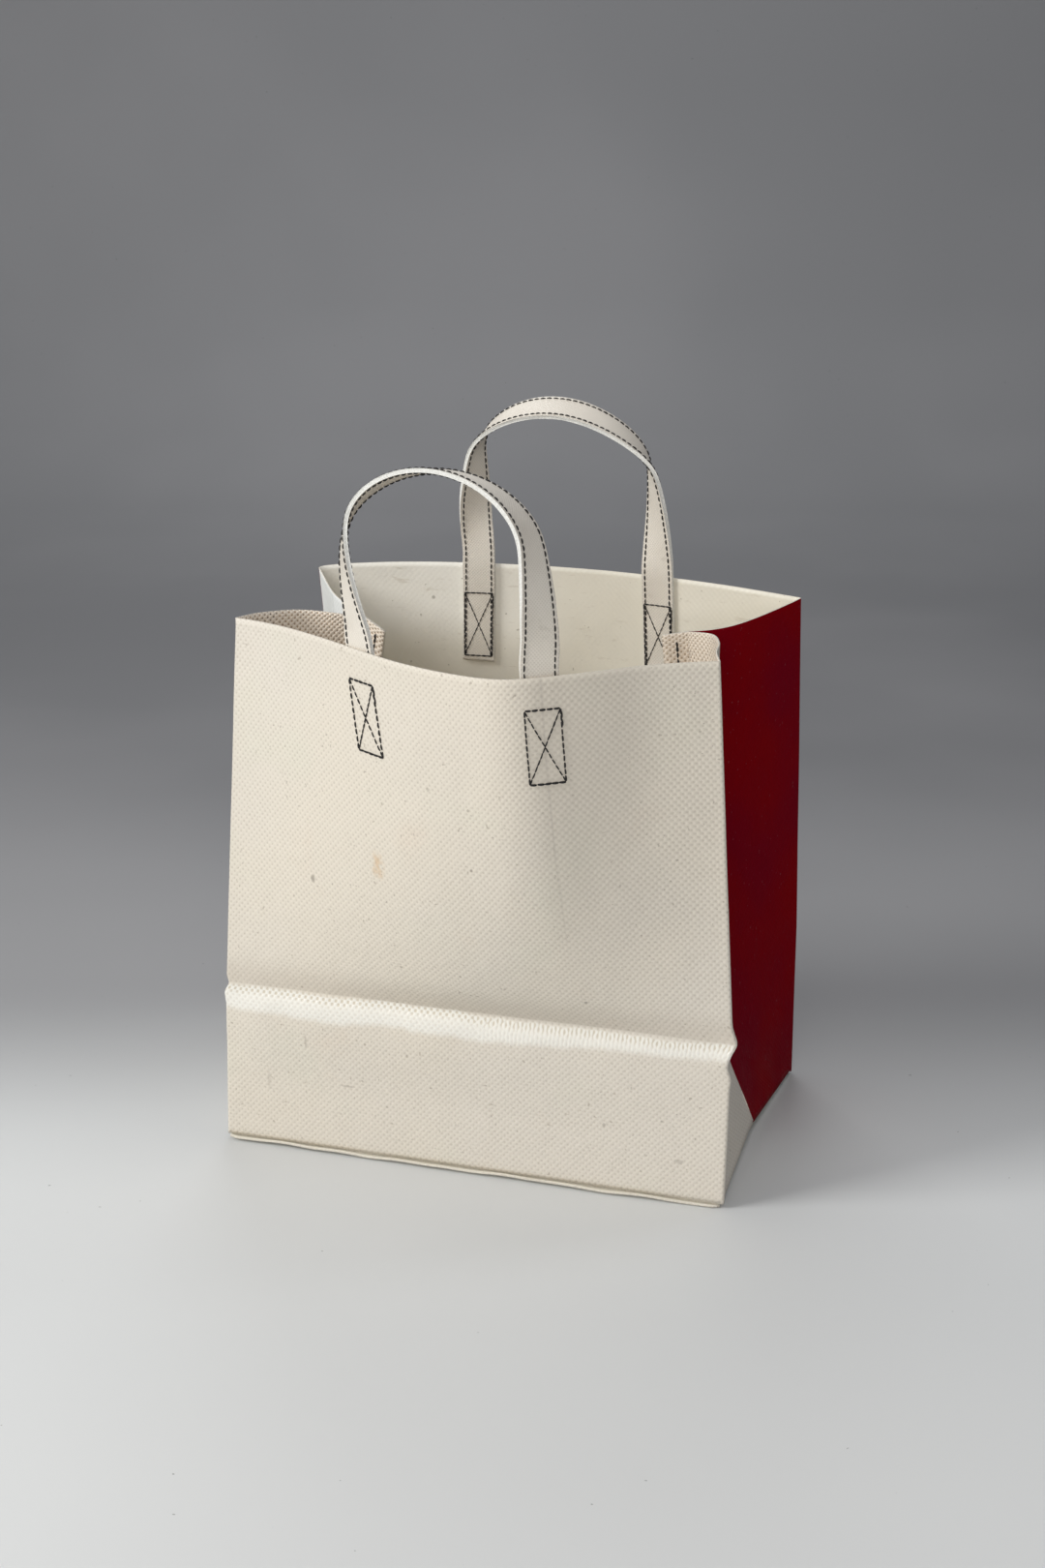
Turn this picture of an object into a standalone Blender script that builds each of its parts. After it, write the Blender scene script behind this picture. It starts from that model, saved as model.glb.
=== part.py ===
"""Small carrier-style gift bag of coated woven sheet, with two sewn strap handles.

Two cut sheets, a front one and a back one, make the walls. Each sheet wraps round its two vertical
edges and folds inwards as half of a side gusset, and the sheets are sewn together along the valley
of each gusset. The bottom is folded like a carrier bag's: two ears, then a front and a back flap.
A sheet is one node per face between its creases, so that each node bends only one way.

Axes: +X to the right, +Y from the front panel to the back panel, +Z up. The origin is on the floor,
under the middle of the bag.
"""
import math

import bmesh
import bpy
from mathutils import Vector

MM = 0.001

# Driving dimensions, in millimetres.
WIDTH = 262.0
DEPTH = 172.0
FRONT_HEIGHT = 270.0
FRONT_HEIGHT_GAIN_LEFT = 3.0      # the sheets' top edges are cut a little out of square
BACK_HEIGHT = 278.0
BACK_HEIGHT_LOSS_RIGHT = 5.0
CREASE_HEIGHT = DEPTH / 2         # the walls are creased where the bottom folds up
SHEET = 0.65                      # thickness of the coated sheet
GAP = 0.35                        # left between pieces that touch
SEAM_ALLOWANCE = 12.0             # stands into the bag along each gusset valley
SEAM_STITCH_INSET = 6.0

HALF_WIDTH = WIDTH / 2
HALF_DEPTH = DEPTH / 2

# How the open mouth pulls the walls out of plumb, at the rim.
FRONT_BULGE, FRONT_SKEW, FRONT_CREST = 46.2, 1.19, (1.24, 1.19)
FRONT_CORNER_X = (-119.3, 122.9)
FRONT_CORNER_LEAN = (7.5, -2.5)
BACK_BULGE, BACK_SKEW, BACK_CREST = 24.9, 0.92, (0.74, 1.06)
BACK_CORNER_X = (-131.0, 131.0)
BACK_CORNER_LEAN = (-33.8, -23.5)
CREASE_SHIFT = 2.4                # the front sheet's crease has slid this far to the right
BULGE_GROWTH = 70.0               # height above the crease over which the bulge builds up
VALLEY_DEPTH_CREASE = (26.0, 20.0)  # left, right: how far the gusset valley is pushed in
VALLEY_DEPTH_RIM = (69.0, 41.0)
VALLEY_Y_RIM = -14.0
VALLEY_Y_FLOOR = -4.0
VALLEY_LIFT = 9.0                 # the valley's foot stands this far clear of the floor
ALLOWANCE_LIFT = 6.0              # the seam allowance's foot rises further, over the ear
GUSSET_BOW = 6.0

# Bottom stack, lowest first.
FLAP_INSET, EAR_INSET = 2.0, 3.0
BACK_FLAP_FRONT = -HALF_DEPTH - 0.5   # the back flap's free edge shows under the front fold
FRONT_FLAP_BACK = 30.0
FLAP_FOLD_INSET = 1.0
EAR_TIP = 0.015                   # width left at the ear's pointed ends
BACK_FLAP_Z = SHEET / 2
FRONT_FLAP_Z = BACK_FLAP_Z + SHEET + GAP
EAR_Z = FRONT_FLAP_Z + SHEET + GAP
EAR_LIFT = 5.0                    # of the ears' outer edges, under the valleys
WALL_FOOT = 1.1                   # the walls' lower edges, above the back flap

# Handles.
STRAP_WIDTH, STRAP_THICKNESS = 18.0, 2.6
FRONT_LEGS = (-47.5, 53.0)        # strap centres along the rim of the front sheet
FRONT_SLANTS = (0.183, 0.035)     # how far the sewn end runs to the right per mm down
BACK_LEGS = (-48.0, 51.8)
BACK_SLANTS = (-0.046, 0.01)
STRAP_END_DEPTH = 55.0            # how far a strap end reaches down inside the bag
STRAP_END_PROUD = 0.5             # and how far it stands above the rim
HINGE_ABOVE_RIM = 9.0             # the strap bends here when the handle swings
LOOP_START = 0.6                  # where the moving strap starts, above the hinge line
STRAP_OFFSET = SHEET / 2 + GAP + STRAP_THICKNESS / 2

# Stitching.
THREAD = 0.6
BOX_WIDTH, BOX_TOP, BOX_HEIGHT = 15.5, 15.0, 34.0
EDGE_INSET = 2.2                  # topstitching, in from the strap's edges
EDGE_ROW_START = 0.01             # of the way round the loop
SEAM_ROW_FOOT, SEAM_ROW_TOP = 17.0, FRONT_HEIGHT - 3.0

# Cells of each piece's grid: across, up.
WALL_CELLS, FLAT_CELLS, GUSSET_CELLS, EAR_CELLS = (28, 10), (1, 1), (14, 18), (5, 10)
LOOP_CELLS, STRAP_END_CELLS = (44, 1), (3, 5)
EDGE_STEPS, SEAM_STEPS = 40, 10

CREAM = (0.78, 0.74, 0.66, 1.0)
WHITE = (0.86, 0.85, 0.82, 1.0)
RED = (0.30, 0.006, 0.03, 1.0)
PALE = (0.80, 0.81, 0.80, 1.0)
BLACK = (0.012, 0.012, 0.014, 1.0)


def clear_scene():
    for item in list(bpy.data.objects):
        bpy.data.objects.remove(item, do_unlink=True)


def make_collection(name):
    collection = bpy.data.collections.new(name)
    bpy.context.scene.collection.children.link(collection)
    return collection


def make_material(name, colour, roughness):
    material = bpy.data.materials.new(name)
    material.use_nodes = True
    shader = material.node_tree.nodes["Principled BSDF"]
    shader.inputs["Base Color"].default_value = colour
    shader.inputs["Roughness"].default_value = roughness
    shader.inputs["Metallic"].default_value = 0.0
    return material


def mix(a, b, w):
    return a + (b - a) * w


def rise(t, top):
    """0 at the crease and below, 1 at the rim."""
    return min(max((t - CREASE_HEIGHT) / (top - CREASE_HEIGHT), 0.0), 1.0)


def bulge_growth(t, top):
    """The bulge builds up quickly above the crease and then stays."""
    above = max(t - CREASE_HEIGHT, 0.0)
    return (1 - math.exp(-above / BULGE_GROWTH)) / (1 - math.exp(-(top - CREASE_HEIGHT) / BULGE_GROWTH))


def height_of(t, lean, foot):
    """Height of a point t up a wall that leans out by this much above its foot."""
    return t - lean * lean / (2 * max(t - foot, 20.0))


def bulge(amount, skew, crest, w, t, top):
    """How far a wall swells out, at w across it from 0 to 1 and t up it."""
    wave = max(math.sin(math.pi * w**skew), 0.0)
    return amount * wave ** mix(*crest, w) * bulge_growth(t, top)


def front_height(s):
    w = (s + HALF_WIDTH) / WIDTH
    return FRONT_HEIGHT + FRONT_HEIGHT_GAIN_LEFT * (1 - w) ** 2


def front_point(s, t):
    """Point of the front sheet's middle layer: s across from its centre, t up from the floor."""
    w = (s + HALF_WIDTH) / WIDTH
    k = rise(t, FRONT_HEIGHT)
    slid = CREASE_SHIFT * min(t / CREASE_HEIGHT, 1 - k)
    x = mix(mix(-HALF_WIDTH, FRONT_CORNER_X[0], k), mix(HALF_WIDTH, FRONT_CORNER_X[1], k), w) + slid
    bump = bulge(FRONT_BULGE, FRONT_SKEW, FRONT_CREST, w, t, FRONT_HEIGHT)
    lean = mix(*FRONT_CORNER_LEAN, w) * k - bump
    return Vector((x, -HALF_DEPTH + lean, height_of(t, lean, CREASE_HEIGHT)))


def back_height(s):
    w = (s + HALF_WIDTH) / WIDTH
    return BACK_HEIGHT - BACK_HEIGHT_LOSS_RIGHT * w * w


def back_point(s, t):
    """Point of the back sheet's middle layer."""
    w = (s + HALF_WIDTH) / WIDTH
    k = rise(t, BACK_HEIGHT)
    x = mix(mix(-HALF_WIDTH, BACK_CORNER_X[0], k), mix(HALF_WIDTH, BACK_CORNER_X[1], k), w)
    bump = bulge(BACK_BULGE, BACK_SKEW, BACK_CREST, w, t, BACK_HEIGHT)
    lean = mix(*BACK_CORNER_LEAN, w) * k + bump
    return Vector((x, HALF_DEPTH + lean, height_of(t, lean, CREASE_HEIGHT)))


def valley_depth(side, t, top):
    """How far the gusset's valley is pushed in from the side; side is -1 on the left, +1 on the right."""
    at_crease = VALLEY_DEPTH_CREASE[side > 0]
    at_rim = VALLEY_DEPTH_RIM[side > 0]
    if t < CREASE_HEIGHT:
        return at_crease * (t / CREASE_HEIGHT) ** 1.5
    return mix(at_crease, at_rim, rise(t, top))


def valley_point(side, t, top):
    depth = valley_depth(side, t, top)
    y = mix(VALLEY_Y_FLOOR, VALLEY_Y_RIM, t / top)
    return Vector((side * (HALF_WIDTH - depth), y, height_of(t, depth, 0.0)))


def seam_direction(side, k):
    """Which way the seam allowance points, from the valley: inwards, and a little forwards at the rim."""
    return Vector((-side * 1.0, -0.45 * k, 0.0)).normalized()


def gusset_point(corner, side, facing, q, t, top):
    """Point of a gusset half: q from 0 at the bag's corner to 1 at the valley, then up to 2 at the
    seam allowance's free edge. facing is -1 on the front sheet, whose allowance lies in front."""
    k = rise(t, top)
    apart = Vector((0.0, facing * (SHEET + GAP) / 2, 0.0))
    valley = valley_point(side, t, top) + apart
    if q > 1:
        return valley + seam_direction(side, k) * SEAM_ALLOWANCE * (q - 1)
    bow = GUSSET_BOW * k * math.sin(math.pi * q) ** 2
    start = corner(side * HALF_WIDTH, t)
    return start.lerp(valley, q) + Vector((side * bow, 0.0, 0.0))


def sheet_object(name, place, cells, thickness, material, collection):
    """A flat cut piece: a grid of cells (across, up) that place(u, v) puts in space, made a shell."""
    mesh = bpy.data.meshes.new(name)
    work = bmesh.new()
    bmesh.ops.create_grid(work, x_segments=cells[0], y_segments=cells[1], size=0.5)
    for vertex in work.verts:
        vertex.co = place(vertex.co.x + 0.5, vertex.co.y + 0.5) * MM
    bmesh.ops.recalc_face_normals(work, faces=work.faces)
    work.to_mesh(mesh)
    work.free()
    item = bpy.data.objects.new(name, mesh)
    collection.objects.link(item)
    mesh.materials.append(material)
    shell = item.modifiers.new("thickness", "SOLIDIFY")
    shell.thickness = thickness * MM
    shell.offset = 0.0
    shell.use_even_offset = True
    return item


def thread_object(name, route, material, collection):
    """A sewn thread along a route of points."""
    curve = bpy.data.curves.new(name, "CURVE")
    curve.dimensions = "3D"
    curve.bevel_depth = THREAD / 2 * MM
    curve.bevel_resolution = 0
    curve.use_fill_caps = True
    spline = curve.splines.new("POLY")
    spline.points.add(len(route) - 1)
    for point, place in zip(spline.points, route):
        point.co = (*(place * MM), 1.0)
    curve.materials.append(material)
    item = bpy.data.objects.new(name, curve)
    collection.objects.link(item)
    return item


def stitched_box(name, place, material, collection):
    """A rectangle of stitches crossed corner to corner: a flat frame of strips, laid on a surface.
    place(u, v) takes u across from -1 to 1 and v from 0 at the top to 1 at the bottom."""
    outline = [(-1, 0), (0, 0), (1, 0), (1, 0.5), (1, 1), (0, 1), (-1, 1), (-1, 0.5)]
    mesh = bpy.data.meshes.new(name)
    work = bmesh.new()
    ring = [work.verts.new(place(u, v) * MM) for u, v in outline]
    middle = work.verts.new(place(0, 0.5) * MM)
    for start in range(0, len(ring), 2):
        corner_ring = [ring[start], ring[start + 1], ring[(start + 2) % len(ring)]]
        work.faces.new([*corner_ring, middle])
    bmesh.ops.recalc_face_normals(work, faces=work.faces)
    work.to_mesh(mesh)
    work.free()
    item = bpy.data.objects.new(name, mesh)
    collection.objects.link(item)
    mesh.materials.append(material)
    frame = item.modifiers.new("strips", "WIREFRAME")
    frame.thickness = 2 * THREAD * MM
    frame.use_boundary = True
    frame.use_replace = True
    frame.use_even_offset = False
    return item


def make_wall(name, point, low, high, cells, material, collection):
    """A panel between its side creases, from height low to height high; high is given along the top."""
    inset = SHEET / 2 + GAP

    def place(u, v):
        s = mix(-HALF_WIDTH + inset, HALF_WIDTH - inset, u)
        return point(s, mix(low, high(s), v))

    return sheet_object(name, place, cells, SHEET, material, collection)


def make_gusset_half(name, side, facing, material, collection):
    corner, cut_height = (front_point, front_height) if facing < 0 else (back_point, back_height)
    end = side * HALF_WIDTH

    def place(u, v):
        q = 2 * u
        top = mix(cut_height(end), FRONT_HEIGHT, min(q, 1.0))
        foot = WALL_FOOT + VALLEY_LIFT * min(q, 1.0) + ALLOWANCE_LIFT * max(q - 1.0, 0.0)
        return gusset_point(corner, side, facing, q, mix(foot, top, v), top)

    return sheet_object(name, place, GUSSET_CELLS, SHEET, material, collection)


def make_flap(name, z, front_y, back_y, material, collection):
    """A bottom flap, lying flat."""
    reach = HALF_WIDTH - FLAP_INSET

    def place(u, v):
        return Vector((mix(-reach, reach, u), mix(front_y, back_y, v), z))

    return sheet_object(name, place, FLAT_CELLS, SHEET, material, collection)


def make_ear(name, side, material, collection):
    """A bottom ear: a triangle folded in from the side, its outer edge lifted towards the valley."""
    reach = HALF_DEPTH - EAR_INSET

    def place(u, v):
        across = 2 * v - 1
        inwards = u * mix(1 - abs(across), 1.0, EAR_TIP)
        lift = EAR_LIFT * (1 - abs(across)) * (1 - u) ** 2
        x = side * (HALF_WIDTH - EAR_INSET - inwards * reach)
        return Vector((x, across * reach, EAR_Z + lift))

    return sheet_object(name, place, EAR_CELLS, SHEET, material, collection)


def strap_end_place(point, leg, slant, height, facing):
    """Places (across, down, out) on a strap end: across in mm, down from the rim, out of its middle."""

    def place(across, down, out):
        s = leg + slant * down + across
        here = point(s, height(s) - down)
        along = (point(s + 2, height(s) - down) - point(s - 2, height(s) - down)).normalized()
        inwards = along.cross(Vector((0, 0, 1))).normalized() * facing
        return here + inwards * (STRAP_OFFSET + out)

    return place


class Handle:
    """One strap: where its legs are, its hinge line, and the arch that it makes above it."""

    def __init__(self, point, legs, slants, height, facing, knots, lean, tilt, twist):
        self.facing = facing
        self.ends = [strap_end_place(point, *leg, height, facing) for leg in zip(legs, slants)]
        self.feet = [end(0.0, -HINGE_ABOVE_RIM, 0.0) for end in self.ends]
        self.axis = (self.feet[1] - self.feet[0]).normalized()
        self.back = Vector((-self.axis.y, self.axis.x, 0.0)).normalized()
        self.span = (self.feet[1] - self.feet[0]).length
        self.knots, self.lean, self.tilt, self.twist = knots, lean, tilt, twist

    def centre(self, w):
        """The arch's middle line, w from 0 at the left foot to 1 at the right foot: Hermite pieces
        through the knots, each (along, up, direction along, direction up) as parts of the span."""
        pieces = len(self.knots) - 1
        piece = min(int(w * pieces), pieces - 1)
        f = w * pieces - piece
        a, b = self.knots[piece], self.knots[piece + 1]
        weights = (2 * f**3 - 3 * f**2 + 1, f**3 - 2 * f**2 + f, 3 * f**2 - 2 * f**3, f**3 - f**2)
        along = weights[0] * a[0] + weights[1] * a[2] + weights[2] * b[0] + weights[3] * b[2]
        up = weights[0] * a[1] + weights[1] * a[3] + weights[2] * b[1] + weights[3] * b[3]
        base = self.feet[0] + self.axis * (along * self.span)
        inwards = self.back * (-self.facing * self.lean * math.sin(math.pi * w) ** 2)
        return base + inwards + Vector((0, 0, LOOP_START + up * self.span))

    def across(self, w):
        """The strap's width direction: it makes half a turn from foot to foot, dipping at the top."""
        first, last, early, middle = self.twist
        half_wave, full_wave = math.sin(math.pi * w), math.sin(2 * math.pi * w)
        turn = math.radians(mix(first, last, w) + early * full_wave + middle * half_wave)
        flat = self.axis * math.cos(turn) - self.back * math.sin(turn)
        dip = math.radians(self.tilt[0] * half_wave**2 + self.tilt[1] * full_wave)
        raw = flat * math.cos(dip) + Vector((0, 0, math.sin(dip)))
        tangent = (self.centre(min(w + 0.01, 1.0)) - self.centre(max(w - 0.01, 0.0))).normalized()
        return (raw - tangent * raw.dot(tangent)).normalized()

    def place(self, w, across, out):
        """Point at w along the arch, across its width in mm, out from the middle of its thickness."""
        tangent = (self.centre(min(w + 0.01, 1.0)) - self.centre(max(w - 0.01, 0.0))).normalized()
        width = self.across(w)
        return self.centre(w) + width * across + width.cross(tangent) * out


# Knots of the arches: left foot, left shoulder, peak, right shoulder, right foot.
FRONT_HANDLE = Handle(
    front_point, FRONT_LEGS, FRONT_SLANTS, front_height, -1,
    knots=(
        (0.0, 0.0, -0.12, 0.48), (-0.08, 0.50, 0.08, 0.43), (0.43, 0.79, 0.81, -0.03),
        (0.93, 0.48, 0.11, -0.43), (1.0, 0.0, 0.01, -0.47),
    ),
    lean=10.6, tilt=(7.0, 14.0), twist=(25.9, 147.0, 10.7, -9.5),
)
BACK_HANDLE = Handle(
    back_point, BACK_LEGS, BACK_SLANTS, back_height, 1,
    knots=(
        (0.0, 0.0, -0.11, 0.48), (-0.01, 0.51, 0.02, 0.39), (0.44, 0.775, 0.71, -0.01),
        (0.97, 0.46, 0.08, -0.44), (1.0, 0.0, 0.01, -0.47),
    ),
    lean=4.9, tilt=(-27.8, 8.3), twist=(-177.0, -343.0, -19.5, -27.0),
)


def make_loop(name, handle, material, collection):
    """The part of the strap that swings, with its origin on the hinge line."""

    def place(u, v):
        return handle.place(u, (v - 0.5) * STRAP_WIDTH, 0.0)

    item = sheet_object(name, place, LOOP_CELLS, STRAP_THICKNESS, material, collection)
    hinge = (handle.feet[0] + handle.feet[1]) / 2 * MM
    for vertex in item.data.vertices:
        vertex.co = vertex.co - hinge
    item.location = hinge
    return item


def make_strap_end(name, end, material, collection):
    def place(u, v):
        return end((u - 0.5) * STRAP_WIDTH, mix(STRAP_END_DEPTH, -STRAP_END_PROUD, v), 0.0)

    return sheet_object(name, place, STRAP_END_CELLS, STRAP_THICKNESS, material, collection)


def make_stitched_boxes(name, end, material, collection):
    """The crossed box that sews a strap end on: needle thread outside the wall, bobbin thread inside."""
    outside = -(STRAP_THICKNESS / 2 + GAP + SHEET + THREAD + GAP)
    inside = STRAP_THICKNESS / 2 + THREAD + GAP
    for suffix, out in (("box_thread_outside", outside), ("box_thread_inside", inside)):

        def place(u, v, out=out):
            return end(u * BOX_WIDTH / 2, BOX_TOP + v * BOX_HEIGHT, out)

        stitched_box(f"{name}_{suffix}", place, material, collection)


def make_edge_stitching(name, handle, material, collection):
    """The rows of topstitching along both edges of the strap, one thread on each face."""
    reach = STRAP_WIDTH / 2 - EDGE_INSET
    offset = (STRAP_THICKNESS + THREAD) / 2 + GAP
    for row, across in (("first", -reach), ("second", reach)):
        for face, out in (("top", offset), ("under", -offset)):
            parts = [mix(EDGE_ROW_START, 1 - EDGE_ROW_START, i / EDGE_STEPS) for i in range(EDGE_STEPS + 1)]
            route = [handle.place(w, across, out) for w in parts]
            thread_object(f"{name}_{row}_edge_{face}_thread", route, material, collection)


def make_seam_threads(side_name, side, material, collection):
    """The gusset seam's stitching, on both faces of the seam allowance."""
    offset = SHEET + GAP / 2 + GAP + THREAD / 2
    for face, facing in (("front", -1), ("back", 1)):
        route = []
        for i in range(SEAM_STEPS + 1):
            t = mix(SEAM_ROW_FOOT, SEAM_ROW_TOP, i / SEAM_STEPS)
            k = rise(t, FRONT_HEIGHT)
            direction = seam_direction(side, k)
            normal = Vector((direction.y, -direction.x, 0.0)) * side
            on_seam = valley_point(side, t, FRONT_HEIGHT) + direction * SEAM_STITCH_INSET
            route.append(on_seam - normal * facing * offset)
        thread_object(f"{side_name}_seam_{face}_thread", route, material, collection)


def build():
    clear_scene()
    parts = make_collection("gift_bag")
    cream = make_material("cream coated sheet", CREAM, 0.55)
    red = make_material("red coated sheet", RED, 0.30)
    pale = make_material("pale coated sheet", PALE, 0.50)
    strap = make_material("strap sheet", WHITE, 0.60)
    thread = make_material("black thread", BLACK, 0.80)

    crease_gap = (SHEET + GAP) / 2
    below = CREASE_HEIGHT - crease_gap
    above = CREASE_HEIGHT + crease_gap
    make_wall("front_panel", front_point, above, front_height, WALL_CELLS, cream, parts)
    make_wall("front_lower_panel", front_point, WALL_FOOT, lambda s: below, FLAT_CELLS, cream, parts)
    make_wall("back_panel", back_point, above, back_height, WALL_CELLS, red, parts)
    make_wall("back_lower_panel", back_point, WALL_FOOT, lambda s: below, FLAT_CELLS, red, parts)
    for side_name, side, back_print in (("left", -1, pale), ("right", 1, red)):
        make_gusset_half(f"{side_name}_gusset_front_half", side, -1, cream, parts)
        make_gusset_half(f"{side_name}_gusset_back_half", side, 1, back_print, parts)
        make_seam_threads(side_name, side, thread, parts)
        make_ear(f"{side_name}_bottom_ear", side, cream, parts)
    fold = HALF_DEPTH - FLAP_FOLD_INSET
    make_flap("back_bottom_flap", BACK_FLAP_Z, BACK_FLAP_FRONT, fold, red, parts)
    make_flap("front_bottom_flap", FRONT_FLAP_Z, -fold, FRONT_FLAP_BACK, cream, parts)

    for name, handle in (("front_handle", FRONT_HANDLE), ("back_handle", BACK_HANDLE)):
        make_loop(name, handle, strap, parts)
        make_edge_stitching(name, handle, thread, parts)
        for side_name, end in zip(("left", "right"), handle.ends):
            make_strap_end(f"{name}_{side_name}_end", end, strap, parts)
            make_stitched_boxes(f"{name}_{side_name}", end, thread, parts)


build()
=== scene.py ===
"""Looks of the gift bag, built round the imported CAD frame. Lengths are in mm until they meet MM."""

import math
import random

import bpy
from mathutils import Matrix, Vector, noise


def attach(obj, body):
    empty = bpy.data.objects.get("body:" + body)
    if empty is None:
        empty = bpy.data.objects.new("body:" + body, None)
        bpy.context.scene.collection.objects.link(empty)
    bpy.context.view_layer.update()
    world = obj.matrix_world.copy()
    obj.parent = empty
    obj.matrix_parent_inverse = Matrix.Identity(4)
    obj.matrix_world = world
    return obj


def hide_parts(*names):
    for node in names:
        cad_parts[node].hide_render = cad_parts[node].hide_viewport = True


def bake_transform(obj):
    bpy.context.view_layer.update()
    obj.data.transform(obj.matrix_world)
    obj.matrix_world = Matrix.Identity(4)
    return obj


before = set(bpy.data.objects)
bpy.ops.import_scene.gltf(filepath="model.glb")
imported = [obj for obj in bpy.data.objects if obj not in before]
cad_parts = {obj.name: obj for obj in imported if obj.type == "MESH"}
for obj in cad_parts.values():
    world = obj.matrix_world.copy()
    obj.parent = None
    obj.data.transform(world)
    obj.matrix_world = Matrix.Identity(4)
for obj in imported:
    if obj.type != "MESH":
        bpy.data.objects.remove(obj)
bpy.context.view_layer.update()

MM = 0.001
Z = Vector((0.0, 0.0, 1.0))
rng = random.Random(7)

# The bag, as in the CAD. Heights are those of the flat sheets; a tuple holds left and right.
HALF_WIDTH, HALF_DEPTH = 131.0, 86.0
WIDTH = 2 * HALF_WIDTH
FRONT_HEIGHT, FRONT_GAIN_LEFT = 270.0, 3.0
BACK_HEIGHT, BACK_LOSS_RIGHT = 278.0, 5.0
CREASE = 86.0
SHEET = 0.65
ALLOWANCE = 12.0
GUSSET = 84.0
SEAM_HEIGHT = 270.0
FRONT_BULGE, FRONT_SKEW, FRONT_CREST = 46.2, 1.19, (1.24, 1.19)
FRONT_CORNER_X, FRONT_CORNER_LEAN = (-119.3, 122.9), (7.5, -2.5)
BACK_BULGE, BACK_SKEW, BACK_CREST = 24.9, 0.92, (0.74, 1.06)
BACK_CORNER_X, BACK_CORNER_LEAN = (-131.0, 131.0), (-33.8, -23.5)
CREASE_SHIFT = 2.4
BULGE_GROWTH = 70.0
STRAP_WIDTH, STRAP_THICKNESS = 18.0, 2.0
FRONT_LEGS, FRONT_SLANTS = (-47.5, 53.0), (0.183, 0.035)
BACK_LEGS, BACK_SLANTS = (-48.0, 51.8), (-0.046, 0.01)
STRAP_END_DEPTH = 55.0
HINGE_ABOVE_RIM = 9.0
CAD_STRAP_HALF, STRAP_GAP = 1.3, 0.35
STRAP_OFFSET = SHEET / 2 + STRAP_GAP + CAD_STRAP_HALF
YARN_ACROSS, YARN_UP = 1.632, 1.743
STITCH_PITCH, STITCH_LENGTH, THREAD = 3.3, 2.6, 0.8


def mix(a, b, w):
    return a + (b - a) * w


def clamp(v, low=0.0, high=1.0):
    return min(max(v, low), high)


def smooth(v, low, high):
    """0 up to low, 1 from high, eased between them."""
    f = clamp((v - low) / (high - low))
    return f * f * (3 - 2 * f)


def hump(v, middle, spread):
    """1 at middle, fading to 0 on both sides of it."""
    return math.exp(-((v - middle) / spread) ** 2)


def wobble(x, y, scale, seed=0.0):
    """Smooth noise between about -1 and 1, with features scale mm across."""
    return noise.noise(Vector((x / scale + seed * 7.3, y / scale - seed * 3.1, seed)))


# ---- the sheets' shapes -------------------------------------------------------------------------


def rise(t, top):
    """0 up to the crease and 1 at the rim."""
    return clamp((t - CREASE) / (top - CREASE))


def grown(t):
    """How far a wall has swollen out at height t, from 0 at the crease."""
    return 1 - math.exp(-max(t - CREASE, 0) / BULGE_GROWTH)


def bulge(amount, skew, crest, w, t, top):
    growth = grown(t) / grown(top)
    return amount * max(math.sin(math.pi * w**skew), 0.0) ** mix(*crest, w) * growth


def front_height(s):
    return FRONT_HEIGHT + FRONT_GAIN_LEFT * (1 - (s + HALF_WIDTH) / WIDTH) ** 2


def back_height(s):
    return BACK_HEIGHT - BACK_LOSS_RIGHT * ((s + HALF_WIDTH) / WIDTH) ** 2


def wall(s, t, top, corner_x, corner_lean, swell, facing, slid):
    """A wall without its dents: s mm from its middle line, t mm up the sheet."""
    w = clamp((s + HALF_WIDTH) / WIDTH)
    k = rise(t, top)
    left, right = mix(-HALF_WIDTH, corner_x[0], k), mix(HALF_WIDTH, corner_x[1], k)
    x = mix(left, right, w) + slid * min(t / CREASE, 1 - k)
    lean = mix(*corner_lean, w) * k + facing * bulge(*swell, w, t, top)
    return Vector((x, facing * HALF_DEPTH + lean, t - lean * lean / (2 * max(t - CREASE, 20.0))))


def front_base(s, t):
    return wall(s, t, FRONT_HEIGHT, FRONT_CORNER_X, FRONT_CORNER_LEAN,
                (FRONT_BULGE, FRONT_SKEW, FRONT_CREST), -1, CREASE_SHIFT)


def back_base(s, t):
    return wall(s, t, BACK_HEIGHT, BACK_CORNER_X, BACK_CORNER_LEAN,
                (BACK_BULGE, BACK_SKEW, BACK_CREST), 1, 0.0)


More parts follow.
